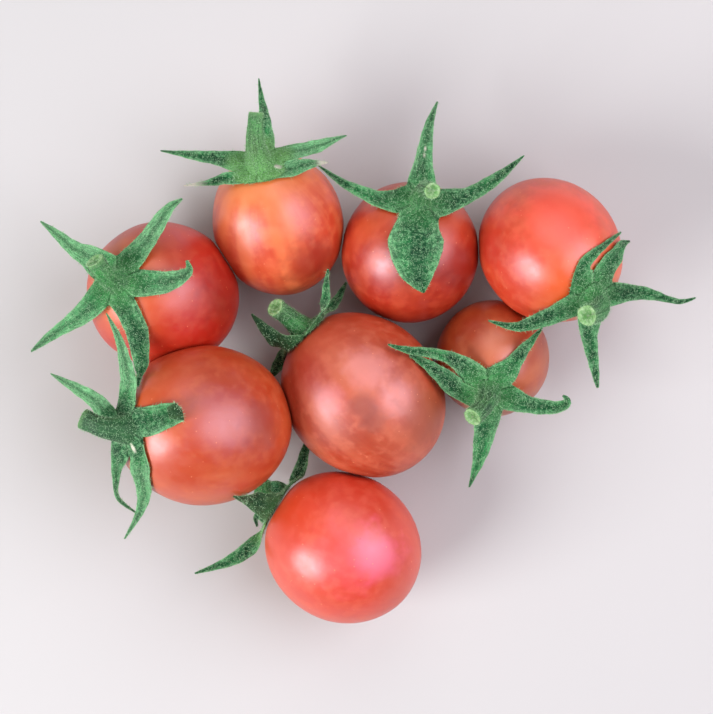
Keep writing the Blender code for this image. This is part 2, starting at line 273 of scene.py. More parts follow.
fruitShape = {
    "rows": 72,             # from the stem end to the blossom end
    "columns": 96,
    "dimpleDepth": 0.9,     # hollow under the calyx
    "dimpleRadius": 3.5,
    "lobes": 5,
    "lobeDepth": 0.012,     # as a fraction of the radius
    "unevenness": 0.10,     # soft dents and swells
    "unevenScale": 0.13,    # how many to the millimetre
    "onTable": 0.2,         # a fruit whose CAD is this low rests on the table
    "pressedFlat": 0.3,     # and loses this much there
    "contactGap": 0.16,     # left between two fruits that press on each other
    "contactSoftness": 0.6,
}


def dimple(radius):
    return fruitShape["dimpleDepth"] * math.exp(-((radius / fruitShape["dimpleRadius"]) ** 2))


def awayFrom(point, other):
    # How far a point is from another fruit's skin, below zero inside it.
    offset = point - other["middle"]
    along = offset.dot(other["axis"])
    across = (offset - other["axis"] * along).length
    length, width = other["halfLength"], other["halfWidth"]
    ratio = math.hypot(along / length, across / width)
    return (ratio - 1.0) * ratio / math.hypot(along / length ** 2, across / width ** 2)


def pressedIn(point, tomato):
    # Two fruits that touch flatten each other by equal amounts.
    soft = fruitShape["contactSoftness"]
    inward = (tomato["middle"] - point).normalized()
    for other in tomatoes.values():
        if other is not tomato:
            depth = fruitShape["contactGap"] - awayFrom(point, other)
            if depth > -soft:
                depth = depth if depth > soft else (depth + soft) ** 2 / (4 * soft)
                point = point + inward * depth / 2
    return point


def makeFruit(place, tomato, material):
    rows, columns = fruitShape["rows"], fruitShape["columns"]
    length, width = tomato["halfLength"], tomato["halfWidth"]
    middle, axis = tomato["middle"], tomato["axis"]
    across = up.cross(axis).normalized()
    along = across.cross(axis)
    phase = middle.x + middle.y
    shape = bmesh.new()
    fromStem = shape.verts.layers.float.new("fromStem")
    skinWay = shape.verts.layers.float_vector.new("skinWay")

    def addPoint(row, column):
        angle, turn = math.pi * row / rows, 2 * math.pi * column / columns
        shoulder = math.sin(angle) * max(0.0, math.cos(angle)) * 2.0
        lobe = math.cos(fruitShape["lobes"] * turn + phase) * fruitShape["lobeDepth"] * shoulder
        radius = width * math.sin(angle) * (1.0 + lobe)
        height = length * math.cos(angle) - (dimple(radius) if angle < math.pi / 2 else 0.0)
        outward = along * math.cos(turn) + across * math.sin(turn)
        point = outward * radius + axis * height
        swell = noise.noise(point * fruitShape["unevenScale"] + middle) * fruitShape["unevenness"]
        point = pressedIn(middle + point * (1.0 + swell / width), tomato)
        point.z = max(point.z, 0.0)
        vertex = shape.verts.new(point * mm)
        vertex[fromStem] = row / rows
        vertex[skinWay] = (math.cos(turn), math.sin(turn), math.cos(angle))
        return vertex

    rings = [[addPoint(row, column) for column in range(columns)] for row in range(1, rows)]
    stemEnd, blossomEnd = addPoint(0, 0), addPoint(rows, 0)
    fillRings(shape, rings, stemEnd, blossomEnd)
    return finishPiece("tomato_" + place, shape, material, "fruit_" + place)


def fillRings(shape, rings, first, last=None):
    # Faces from ring to ring, with a vertex to close the first ring and perhaps one for the last.
    count = len(rings[0])
    for j in range(count):
        k = (j + 1) % count
        shape.faces.new((first, rings[0][j], rings[0][k]))
        if last is not None:
            shape.faces.new((rings[-1][j], last, rings[-1][k]))
        for a, b in zip(rings, rings[1:]):
            shape.faces.new((a[j], b[j], b[k], a[k]))


def toMesh(shape, name, *finishes):
    mesh = bpy.data.meshes.new(name)
    shape.to_mesh(mesh)
    shape.free()
    mesh.shade_smooth()
    for material in finishes:
        mesh.materials.append(material)
    return mesh


def finishPiece(name, shape, material, node):
    bmesh.ops.recalc_face_normals(shape, faces=shape.faces)
    return placePiece(name, toMesh(shape, name, material), node)


def addObject(name, data):
    thing = bpy.data.objects.new(name, data)
    bpy.context.scene.collection.objects.link(thing)
    return thing


def placePiece(name, mesh, node):
    piece = addObject(name, mesh)
    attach(piece, "root")
    if node:
        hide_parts(node)
    return piece


def plainMesh(source, name):
    # The shown shape of an object as a mesh of its own; the object itself goes.
    bpy.context.view_layer.update()
    shown = source.evaluated_get(bpy.context.evaluated_depsgraph_get())
    mesh = bpy.data.meshes.new_from_object(shown)
    mesh.name = name
    old = source.data
    bpy.data.objects.remove(source)
    bpy.data.meshes.remove(old)
    return mesh


def throughPoints(points, steps):
    # A smooth line through points, each a list of numbers, with steps between one and the next.
    ends = [[2 * a - b for a, b in zip(points[0], points[1])]] + points
    ends.append([2 * a - b for a, b in zip(points[-1], points[-2])])
    line = []
    for p, q, r, s in zip(ends, ends[1:], ends[2:], ends[3:]):
        for step in range(steps):
            t = step / steps
            line.append([0.5 * (2 * b + (c - a) * t + (2 * a - 5 * b + 4 * c - d) * t * t
                                + (3 * b - a - 3 * c + d) * t ** 3) for a, b, c, d in zip(p, q, r, s)])
    line.append(list(points[-1]))
    return line


def evenly(line, count):
    # The same line with count points at equal distances along it.
    gone = [0.0]
    for a, b in zip(line, line[1:]):
        gone.append(gone[-1] + (Vector(b[:3]) - Vector(a[:3])).length)
    points, i = [], 0
    for n in range(count):
        wanted = gone[-1] * n / (count - 1)
        while i < len(line) - 2 and gone[i + 1] < wanted:
            i += 1
        part = (wanted - gone[i]) / max(gone[i + 1] - gone[i], 1e-9)
        points.append([a + (b - a) * min(1.0, part) for a, b in zip(line[i], line[i + 1])])
    return points


calyxShape = {
    "sunk": 0.15,           # middle of the calyx below the end of the fruit's axis
    "discLean": 0.3,        # how far the disc leans up from square to the fruit
    "notchRadius": 4.3,     # where neighbouring sepals part
    "ribRadius": 4.8,
    "mound": 0.9,           # height of the knuckle under the stem
    "moundRadius": 2.2,
    "columns": 9,
    "rows": 26,
    "rings": (0.25, 0.5, 0.75, 1.0),        # across the disc
    "rootIn": 2.0,          # a sepal's line comes from this far inside the rim
    "waist": 0.92,          # its width just outside, against the width at the rim
    "notchEase": 1.5,       # how suddenly the notches cut in
    "rise": 0.12,           # of a sepal's middle at the rim, above the notches
    "steps": 12,            # points between two stations before they are spaced evenly
    "smoothings": 4,
    "opensOver": 3.2,       # millimetres over which a blade leaves the rim's shape
    "levelsOver": 6.0,      # and over which it turns its face up
    "jagged": 0.05,         # unevenness of the margins
    "leastHalf": 0.08,      # half the width at the very tip
    "offTable": 0.5,
    "thickness": 0.42,
    "thinEdge": 0.35,       # thickness at the margins, as a fraction
    "thinTip": 0.45,        # what a tip loses of it
    "clearance": 0.55,      # from the skin to the middle of a leaf
    "fold": 0.28,           # how far the midrib lies below the margins, against the half width
    "ripple": 0.16,
    "hubTone": 0.5,
    "paleOver": 2.5,        # millimetres over which the disc's paleness goes
    "toneOver": 3.0,        # and over which a sepal takes on its own tone
    "yellowFade": 3.5,      # how soon a yellow base turns green; 1 would take the whole length
    "dryFrom": 1.5,         # where a tip begins to dry; past 1 it stays green
    "dryFade": 1.5,
}


def onSkin(point, tomato):
    # The place above a fruit's skin, in line with its middle, where a leaf would lie.
    offset = point - tomato["middle"]
    along = offset.dot(tomato["axis"])
    across = (offset - tomato["axis"] * along).length
    skin = 1.0 / math.hypot(along / tomato["halfLength"], across / tomato["halfWidth"])
    if along > 0:
        skin -= dimple(across) / offset.length
    return tomato["middle"] + offset * (skin + calyxShape["clearance"] / offset.length)


def keepClear(point):
    # Out to where a leaf rests on the fruits and above the table.
    for tomato in tomatoes.values():
        resting = onSkin(point, tomato)
        if (resting - tomato["middle"]).length > (point - tomato["middle"]).length:
            point = resting
    point.z = max(point.z, calyxShape["offTable"])
    return point


def sepalRows(tomato, sepal, rim, seed):
    # Rows of points across a sepal from the rim of the disc out to its tip.
    hub, axis = tomato["hub"], tomato["disc"]
    outward = discDirection(tomato, sepal["root"])
    columns = calyxShape["columns"]
    rimWidth = (rim[-1] - rim[0]).length
    start = rim[columns // 2]
    points = [[*(start - outward * calyxShape["rootIn"]), rimWidth],
              [*start, rimWidth * calyxShape["waist"]]]
    for heading, reach, rise, width in sepal["stations"]:
        points.append([*(hub + direction(heading) * reach + up * rise), width])
    line = throughPoints(points, calyxShape["steps"])[calyxShape["steps"]:]
    line = evenly(line, calyxShape["rows"])
    for _ in range(calyxShape["smoothings"]):
        for i in range(1, len(line) - 1):
            line[i] = [(a + 2 * b + c) / 4 for a, b, c in zip(line[i - 1], line[i], line[i + 1])]
    middles = [keepClear(Vector(point[:3])) for point in line]
    length = sum((b - a).length for a, b in zip(middles, middles[1:]))
    carried, before = axis, outward
    rows, gone = [], 0.0
    wave = random.Random(seed)
    phase, speed = wave.uniform(0, 6.28), wave.uniform(0.9, 1.3)
    for i in range(1, len(middles)):
        tangent = (middles[min(i + 1, len(middles) - 1)] - middles[i - 1]).normalized()
        carried = before.rotation_difference(tangent) @ carried
        carried = (carried - tangent * carried.dot(tangent)).normalized()
        before = tangent
        gone += (middles[i] - middles[i - 1]).length
        part = gone / length
        flatness = 1.0 - tangent.z ** 2
        level = up - tangent * tangent.z
        blade = carried
        if level.length > 0.05:
            level.normalize()
            if level.dot(carried) < 0:
                level = -level
            # steep stretches keep the turn they have
            amount = smooth(gone / calyxShape["levelsOver"]) * smooth(flatness * 1.6)
            blade = carried.lerp(level, amount).normalized()
            blade = (blade - tangent * blade.dot(tangent)).normalized()
            carried = carried.lerp(blade, 0.3).normalized()
        sideways = blade.cross(tangent)
        half = max(calyxShape["leastHalf"], line[i][3] / 2)
        opened = smooth(gone / calyxShape["opensOver"])
        row = []
        for j in range(columns):
            u = 1.0 - 2.0 * j / (columns - 1)
            bowl = calyxShape["fold"] * half * (math.sqrt(u * u + 0.03) - 1.0)
            lift = calyxShape["ripple"] * u * abs(u) * math.sin(phase + speed * gone + 1.3 * (u > 0))
            lift *= smooth(part * 3) * min(1.0, half)
            jag = calyxShape["jagged"] / max(1.0, half) * abs(u)
            jag *= math.sin(phase * 3 + gone * 2.3 + 2 * u)
            point = middles[i] - sideways * (u * half * (1.0 + jag)) + blade * (bowl + lift)
            if opened < 1.0:
                point = (rim[j] + middles[i] - start).lerp(point, opened)
            row.append((keepClear(point), u, part, gone))
        rows.append(row)
    return rows


def discRing(tomato, sepals, fraction):
    # One ring of the disc: each point, its part across a sepal and its distance past the rim.
    hub, axis, across = tomato["hub"], tomato["disc"], calyxShape["columns"] - 1
    roots = [sepal["root"] % 360 for sepal in sepals]
    edges = [roots[i] + ((roots[i - 1] - roots[i]) % 360 - 360) / 2 for i in range(len(roots))]
    edges.append(edges[0] + 360)
    ring = []
    for middle, edge, nextEdge in zip(roots, edges, edges[1:]):
        middle = middle if edge <= middle <= nextEdge else middle + 360
        for j in range(across):
            t = j / across
            if t < 0.5:
                root = edge + (middle - edge) * t * 2
            else:
                root = middle + (nextEdge - middle) * (t * 2 - 1)
            notch = abs(2 * t - 1) ** calyxShape["notchEase"]
            radius = calyxShape["ribRadius"] * (1 - notch) + calyxShape["notchRadius"] * notch
            radius *= fraction
            height = calyxShape["mound"] * math.exp(-((radius / calyxShape["moundRadius"]) ** 2))
            height += calyxShape["rise"] * math.cos(math.pi * (2 * t - 1)) * fraction
            point = hub + discDirection(tomato, root) * radius + axis * height
            point = point.lerp(onSkin(point, tomato), tomato.get("hug", 0.0) * fraction ** 2)
            ring.append((keepClear(point), 1 - 2 * t, radius - calyxShape["ribRadius"]))
    return ring


def thickLeaf(shape, name):
    # A wall of leaf round an open sheet, with rounded margins.
    mesh = toMesh(shape, "leaf", materials["sepalGreen"], materials["sepalInside"])
    leaf = addObject("leaf", mesh)
    leaf.vertex_groups.new(name="thick")
    wall = leaf.modifiers.new("wall", "SOLIDIFY")
    wall.thickness = calyxShape["thickness"] * mm
    wall.offset = 0.0
    wall.vertex_group = "thick"
    wall.material_offset = 1
    rounding = leaf.modifiers.new("rounding", "SUBSURF")
    rounding.levels = rounding.render_levels = 1
    return plainMesh(leaf, name)


def makeCalyx(place, tomato, seed):
    shape = bmesh.new()
    blade = shape.verts.layers.float_vector.new("blade")     # across, along, millimetres out
    dryTipAndGlint = shape.verts.layers.float.new("dryTipAndGlint")
    yellow = shape.verts.layers.float.new("yellow")
    tone = shape.verts.layers.float.new("tone")              # how light the green is
    weights = shape.verts.layers.deform.verify()
    columns = calyxShape["columns"]
    pale, hubTone = tomato.get("paleHub", 0.0), tomato.get("hubTone", calyxShape["hubTone"])

    def addPoint(point, u, part, gone, dryness=0.0, yellowness=pale, thick=1.0, lightness=hubTone):
        vertex = shape.verts.new(point * mm)
        vertex[blade] = (u, part, gone)
        vertex[dryTipAndGlint] = dryness
        vertex[yellow] = yellowness
        vertex[tone] = lightness
        vertex[weights][0] = thick
        return vertex

    sepals = sorted(tomato["sepals"], key=lambda sepal: sepal["root"] % 360)
    middle = addPoint(keepClear(tomato["hub"] + tomato["disc"] * calyxShape["mound"]), 0, 0, 0)
    rings = []
    for fraction in calyxShape["rings"]:
        ring = discRing(tomato, sepals, fraction)
        rings.append([addPoint(point, u, 0, gone) for point, u, gone in ring])
    fillRings(shape, rings, middle)
    for i, sepal in enumerate(sepals):
        start = i * (columns - 1)
        before = [rings[-1][(start + j) % len(rings[-1])] for j in range(columns)]
        rim = [vertex.co / mm for vertex in before]
        dryFrom = sepal.get("dryFrom", calyxShape["dryFrom"])
        for row in sepalRows(tomato, sepal, rim, seed * 10 + i):
            now = []
            for point, u, part, gone in row:
                dryness = smooth((part - dryFrom) / max(0.04, 1 - dryFrom) * calyxShape["dryFade"])
                ripe = 1 - smooth(part * calyxShape["yellowFade"]) if "yellowBase" in sepal else 0.0
                yellowness = ripe + pale * (1 - smooth(gone / calyxShape["paleOver"]))
                thick = 1 - abs(u) ** 3 * (1 - calyxShape["thinEdge"])
                thick *= 1 - calyxShape["thinTip"] * part
                own = smooth(gone / calyxShape["toneOver"])
                lightness = hubTone + (sepal["tone"] - hubTone) * own
                now.append(addPoint(point, u, part, gone, dryness, yellowness, thick, lightness))
            for j in range(columns - 1):
                shape.faces.new((before[j], now[j], now[j + 1], before[j + 1]))
            before = now
    for x, y, strength in tomato.get("flecks", ()):        # painted glints, in the pale colour of a dried tip
        spot = Vector((x, y)) * mm
        nearest = min(shape.verts, key=lambda vertex: (vertex.co.xy - spot).length - 0.2 * vertex.co.z)
        nearest[dryTipAndGlint] = strength
    shape.normal_update()
    if sum(face.normal.dot(tomato["disc"]) for face in middle.link_faces) < 0:
        bmesh.ops.reverse_faces(shape, faces=shape.faces)
    mesh = thickLeaf(shape, "sepals_" + place)
    return placePiece("sepals_" + place, mesh, "calyx_" + place)


stemShape = {
    "sides": 24,
    "segments": 22,
    "steps": 12,            # points between two guide points before they are spaced evenly
    "starts": 0.1,          # above the middle of the calyx
    "straight": 1.5,        # how far it stands square to the calyx
    "bend": 0.55,           # how much of that direction it keeps half way
    "flare": 0.35,          # how much wider it grows towards the calyx
    "foot": 0.45,           # and how much more right at its foot
    "lip": 0.10,            # how far the cut end is swollen
    "lipFrom": 0.7,         # and the part of its length where that begins
    "ribs": 5,
    "ribDepth": 0.045,
    "unevenness": 0.05, "unevenScale": 1.3,
    "hollow": 0.22,         # depth of the dried pith in the cut face
    # from the lip in to the pith: part of the radius, depth
    "cut": ((0.97, -0.10), (0.88, -0.14), (0.76, -0.06), (0.6, 0.04), (0.4, 0.12), (0.2, 0.2)),
}


def makeStem(place, tomato, seed):
    stem, hub, axis = tomato["stem"], tomato["hub"], tomato["axis"]
    end = hub + direction(stem["heading"]) * stem["reach"] + up * stem["rise"]
    start = hub + axis * stemShape["starts"]
    foot = hub + axis * stemShape["straight"]
    third = (end - foot).length / 3
    leave = foot + axis * third
    arrive = end + (leave - end).normalized() * third
    bend = leave * stemShape["bend"] + arrive * (1 - stemShape["bend"])
    line = throughPoints([[*start], [*foot], [*bend], [*end]], stemShape["steps"])
    middles = [Vector(point) for point in evenly(line, stemShape["segments"] + 1)]
    shape = bmesh.new()
    bark = shape.verts.layers.float_vector.new("bark")       # round, along, from the cut's middle
    yellow = shape.verts.layers.float.new("yellow")
    tone = shape.verts.layers.float.new("tone")
    phase = random.Random(seed).uniform(0, 6.28)
    before, turned = axis, tomato["side"]
    rings, sides = [], stemShape["sides"]

    def addRing(middle, radius, turned, tangent, along, cut, depth=0.0):
        ring = []
        other = tangent.cross(turned)
        for j in range(sides):
            turn = 2 * math.pi * j / sides
            rib = stemShape["ribDepth"] * math.cos(stemShape["ribs"] * turn + phase)
            rib = 1 + rib * (cut == 1.0)        # the cut face has none
            spot = Vector((math.cos(turn), math.sin(turn), along * 3)) * stemShape["unevenScale"]
            spread = radius * (rib + noise.noise(spot + hub) * stemShape["unevenness"])
            outward = turned * math.cos(turn) + other * math.sin(turn)
            vertex = shape.verts.new((middle + outward * spread - tangent * depth) * mm)
            vertex[bark] = (turn, along, cut)
            vertex[yellow] = tomato.get("paleHub", 0.0) * (1 - along)
            vertex[tone] = tomato.get("hubTone", calyxShape["hubTone"])
            ring.append(vertex)
        rings.append(ring)

    for i, middle in enumerate(middles):
        tangent = (middles[min(i + 1, len(middles) - 1)] - middles[max(i - 1, 0)]).normalized()
        turned = before.rotation_difference(tangent) @ turned
        before = tangent
        along = i / stemShape["segments"]
        radius = stem["radius"] * (1 + stem.get("flare", stemShape["flare"]) * (1 - along) ** 1.5
                                   + stemShape["foot"] * (1 - along) ** 8)
        lip = smooth((along - stemShape["lipFrom"]) / (1 - stemShape["lipFrom"]))
        radius *= 1 + stemShape["lip"] * lip
        addRing(middle, radius, turned, tangent, along, 1.0)
    full = stem["radius"] * (1 + stemShape["lip"])
    for fraction, depth in stemShape["cut"]:
        addRing(middles[-1], full * fraction, turned, tangent, 1.0, fraction * 0.9, depth)
    heart = shape.verts.new((middles[-1] - tangent * stemShape["hollow"]) * mm)
    heart[bark] = (0, 1, 0)
    base = shape.verts.new((middles[0] - axis * 0.2) * mm)
    base[bark] = (0, 0, 1)
    for j in range(sides):
        k = (j + 1) % sides
        for a, b in zip(rings, rings[1:]):
            shape.faces.new((a[j], a[k], b[k], b[j]))
        shape.faces.new((rings[-1][j], rings[-1][k], heart))
        shape.faces.new((rings[0][k], rings[0][j], base))
    name, node = "stem_" + place, "pedicel_" + place
    return finishPiece(name, shape, materials["stemGreen"], node)


hairShape = {
    "perSquareMetre": 5.5e6,
    "length": 0.55,
    "thickness": 0.075,
    "lean": 0.9,            # radians, either way
    "smallest": 0.45, "largest": 1.25,      # times the length and thickness
    "seed": 7,
}


def makeHairTree():
    # A felt of short tapering hairs over whatever surface comes in.
    tree = bpy.data.node_groups.new("leafHairs", "GeometryNodeTree")
    sockets = {}
    for name, kind in (("Surface", "Geometry"), ("Density", "Float"), ("Length", "Float"),
                       ("Thickness", "Float"), ("Lean", "Float"), ("Seed", "Int"),
                       ("Material", "Material")):
        socket = tree.interface.new_socket(name, in_out="INPUT", socket_type="NodeSocket" + kind)
        sockets[name] = socket.identifier
    tree.interface.new_socket("Hairs", in_out="OUTPUT", socket_type="NodeSocketGeometry")
    given = addNode(tree, "NodeGroupInput").outputs
    points = addNode(tree, "GeometryNodeDistributePointsOnFaces", {
        "Mesh": given["Surface"], "Density": given["Density"], "Seed": given["Seed"]}).outputs
    cone = addNode(tree, "GeometryNodeMeshCone", {
        "Vertices": 4, "Side Segments": 2, "Radius Top": 0.0,
        "Radius Bottom": given["Thickness"], "Depth": given["Length"]})
    lean = addNode(tree, "FunctionNodeRandomValue", {
        "Min": times(tree, given["Lean"], -1.0), "Max": given["Lean"], "Seed": given["Seed"],
    }, data_type="FLOAT_VECTOR")
    rotate = addNode(tree, "FunctionNodeRotateRotation", {
        "Rotation": points["Rotation"], "Rotate By": lean.outputs["Value"]}, rotation_space="LOCAL")
    size = addNode(tree, "FunctionNodeRandomValue", {
        2: hairShape["smallest"], 3: hairShape["largest"], "Seed": given["Seed"]}, data_type="FLOAT")
    plant = addNode(tree, "GeometryNodeInstanceOnPoints", {
        "Points": points["Points"], "Instance": cone.outputs["Mesh"],
        "Rotation": rotate.outputs["Rotation"], "Scale": size.outputs[1]})
    real = addNode(tree, "GeometryNodeRealizeInstances", {"Geometry": plant.outputs["Instances"]})
    paint = addNode(tree, "GeometryNodeSetMaterial", {
        "Geometry": real.outputs["Geometry"], "Material": given["Material"]})
    addNode(tree, "NodeGroupOutput", {"Hairs": paint.outputs["Geometry"]})
    return tree, sockets


def makeHairs(place, surfaces, tree, sockets, seed):
    # One felt over the calyx and its stem.
    shape = bmesh.new()
    for surface in surfaces:
        shape.from_mesh(surface.data)
    furred = addObject("furred", toMesh(shape, "furred"))
    fur = furred.modifiers.new("fur", "NODES")
    fur.node_group = tree
    for name, value in (("Density", hairShape["perSquareMetre"]), ("Length", hairShape["length"] * mm),
                        ("Thickness", hairShape["thickness"] * mm / 2), ("Lean", hairShape["lean"]),
                        ("Seed", hairShape["seed"] + seed), ("Material", materials["leafHair"])):
        fur[sockets[name]] = value
    mesh = plainMesh(furred, "hairs_" + place)
    return placePiece("hairs_" + place, mesh, None)


def colour(red, green, blue):
    # Display values from 0 to 255, as the shader wants them.
    parts = []
    for value in (red, green, blue):
        value /= 255.0
        parts.append(value / 12.92 if value <= 0.04045 else ((value + 0.055) / 1.055) ** 2.4)
    return (*parts, 1.0)


def setInputs(tree, node, inputs):
    # Each socket, by name or number, gets a value or the output that feeds it.
    for name, value in inputs.items():
        if isinstance(value, (int, float, tuple)):
            node.inputs[name].default_value = value
        else:
            tree.links.new(value, node.inputs[name])


def addNode(tree, kind, inputs=None, **settings):
    node = tree.nodes.new(kind)
    for name, value in settings.items():
        setattr(node, name, value)
    setInputs(tree, node, inputs or {})
    return node


def addMath(tree, operation, a, b=0.0, clamp=False):
    node = addNode(tree, "ShaderNodeMath", {0: a, 1: b}, operation=operation, use_clamp=clamp)
    return node.outputs[0]


def times(tree, a, b):
    return addMath(tree, "MULTIPLY", a, b)


def addRange(tree, value, low, high, bottom=0.0, top=1.0):
    inputs = {0: value, 1: low, 2: high, 3: bottom, 4: top}
    return addNode(tree, "ShaderNodeMapRange", inputs, interpolation_type="SMOOTHSTEP").outputs[0]


def addMix(tree, amount, first, second):
    inputs = {0: amount, 6: first, 7: second}
    return addNode(tree, "ShaderNodeMix", inputs, data_type="RGBA").outputs[2]


def addLayers(tree, shade, layers):
    # Tints laid over a colour in turn. Each has a mask, then a strength or the range that eases
    # the mask: from low and high to bottom and top.
    for mask, amount, tint in layers:
        if isinstance(amount, tuple):
            mask = addRange(tree, mask, *amount)
        elif amount != 1:
            mask = times(tree, mask, amount)
        shade = addMix(tree, mask, shade, colour(*tint))
    return shade


def addNoise(tree, vector, scale, detail, roughness=0.55):
    inputs = {"Vector": vector, "Scale": scale, "Detail": detail, "Roughness": roughness}
    return addNode(tree, "ShaderNodeTexNoise", inputs).outputs["Fac"]


def addBump(tree, height, strength, distance):
    inputs = {"Height": height, "Strength": strength, "Distance": distance * mm}
    return addNode(tree, "ShaderNodeBump", inputs).outputs["Normal"]


def addAttribute(tree, name, output="Fac"):
    return addNode(tree, "ShaderNodeAttribute", attribute_name=name).outputs[output]


def placeGroup(tree, name, **inputs):
    return addNode(tree, "ShaderNodeGroup", inputs, node_tree=groups[name]).outputs


def newGroup(name, inputs, outputs):
    # An input with no default is a vector; all the rest are single values.
    tree = groups[name] = bpy.data.node_groups.new(name, "ShaderNodeTree")
    for label, value in inputs.items():
        kind = "NodeSocketVector" if value is None else "NodeSocketFloat"
        socket = tree.interface.new_socket(label, in_out="INPUT", socket_type=kind)
        if value is not None:
            socket.default_value = value
    for label in outputs:
        tree.interface.new_socket(label, in_out="OUTPUT", socket_type="NodeSocketFloat")
    return tree, addNode(tree, "NodeGroupInput").outputs, addNode(tree, "NodeGroupOutput")


def makeMottleGroup():
    # Soft cloudy patches at two sizes.
    tree, given, out = newGroup("mottle", {"Place": None, "Scale": 150.0, "Contrast": 1.0},
                                ("Patches", "Fine"))
    big, small = (addNoise(tree, given["Place"], times(tree, given["Scale"], factor), 3.0, 0.5)
                  for factor in (1.0, 6.0))
    spread = times(tree, addMath(tree, "SUBTRACT", big, 0.5), times(tree, given["Contrast"], 3.0))
    setInputs(tree, out, {"Patches": addMath(tree, "ADD", spread, 0.5, True), "Fine": small})


def makeSpeckGroup():
    # Small round dots; only some of the cells carry one.
    tree, given, out = newGroup("specks", {"Place": None, "Scale": 700.0, "Size": 0.2, "Share": 0.5},
                                ("Mask",))
    cells = addNode(tree, "ShaderNodeTexVoronoi", {"Vector": given["Place"], "Scale": given["Scale"]})
    near = addMath(tree, "DIVIDE", cells.outputs["Distance"], given["Size"])
    dot = addRange(tree, near, 0.4, 1.0, 1.0, 0.0)
    split = addNode(tree, "ShaderNodeSeparateColor", {0: cells.outputs["Color"]})
    chosen = addMath(tree, "LESS_THAN", split.outputs[0], given["Share"])
    setInputs(tree, out, {"Mask": times(tree, dot, chosen)})


def makeStreakGroup():
    # Streaks that run from the stem end to the blossom end, from the skin's own coordinates.
    tree, given, out = newGroup("streaks", {"Way": None, "Scale": 4.0, "Detail": 4.0}, ("Mask",))
    squeeze = addNode(tree, "ShaderNodeMapping", {"Vector": given["Way"], "Scale": (1.0, 1.0, 0.16)})
    fine = addNoise(tree, squeeze.outputs[0], given["Scale"], given["Detail"], 0.6)
    setInputs(tree, out, {"Mask": addRange(tree, fine, 0.4, 0.66)})


def makeBlushAndHighlightGroup():
    # One soft, uneven-edged patch round a place.
    tree, given, out = newGroup("blushAndHighlight", {"Place": None, "Middle": None, "Size": 0.004}, ("Mask",))
    away = addNode(tree, "ShaderNodeVectorMath", {0: given["Place"], 1: given["Middle"]},
                   operation="DISTANCE")
    wobble = times(tree, addNoise(tree, given["Place"], 330.0, 2.0), 1.4)
    reach = times(tree, addMath(tree, "DIVIDE", away.outputs["Value"], given["Size"]),
                  addMath(tree, "ADD", wobble, 0.3))
    setInputs(tree, out, {"Mask": addRange(tree, reach, 0.35, 1.35, 1.0, 0.0)})


groups = {}
for makeGroup in (makeMottleGroup, makeSpeckGroup, makeStreakGroup, makeBlushAndHighlightGroup):
    makeGroup()

# Each skin in display colours: deep patches, plain flesh, pale bands, the stem end, and how strong
# the bands and patches are. "duller" widens the shine.
skins = {
    "upper_left": {"slot": "red_skin", "bands": 0.25, "patches": 0.35, "deep": (146, 18, 8),
                   "flesh": (190, 36, 14), "pale": (200, 72, 36), "stemEnd": (214, 104, 40)},
    "top_left": {"slot": "red_skin", "bands": 0.75, "patches": 0.15, "deep": (170, 38, 18),
                 "flesh": (208, 74, 36), "pale": (234, 126, 74), "stemEnd": (236, 138, 70)},
    "top_middle": {"slot": "red_skin", "bands": 0.35, "patches": 0.4, "deep": (132, 20, 10),
                   "flesh": (176, 42, 14), "pale": (206, 84, 42), "stemEnd": (200, 80, 36)},
    "top_right": {"slot": "coral_skin", "bands": 0.35, "patches": 0.4, "deep": (176, 36, 20),
                  "flesh": (214, 66, 32), "pale": (228, 106, 64), "stemEnd": (232, 112, 40)},
    "small_right": {"slot": "orange_skin", "bands": 0.4, "patches": 0.4, "deep": (140, 42, 18),
                    "flesh": (176, 72, 28), "pale": (196, 108, 58), "stemEnd": (190, 92, 44)},
    "middle": {"slot": "orange_skin", "bands": 0.5, "patches": 0.5, "duller": 0.1,
               "deep": (138, 44, 20), "flesh": (188, 70, 24), "pale": (210, 112, 74),
               "stemEnd": (192, 68, 32)},
    "lower_left": {"slot": "red_skin", "bands": 0.4, "patches": 0.35, "deep": (158, 42, 18),
                   "flesh": (192, 70, 22), "pale": (208, 104, 56), "stemEnd": (206, 90, 38)},
    "bottom": {"slot": "coral_skin", "bands": 0.25, "patches": 0.35, "deep": (184, 36, 24),
               "flesh": (216, 68, 36), "pale": (226, 98, 66), "stemEnd": (216, 76, 36)},
}
skinLook = {
    "streaks": 0.3,                 # how strong they are against the bands
    "speck": (240, 150, 104), "freckle": (110, 36, 20),
    "scar": (120, 78, 46),          # at the blossom end
    "roughness": (0.36, 0.48),
}
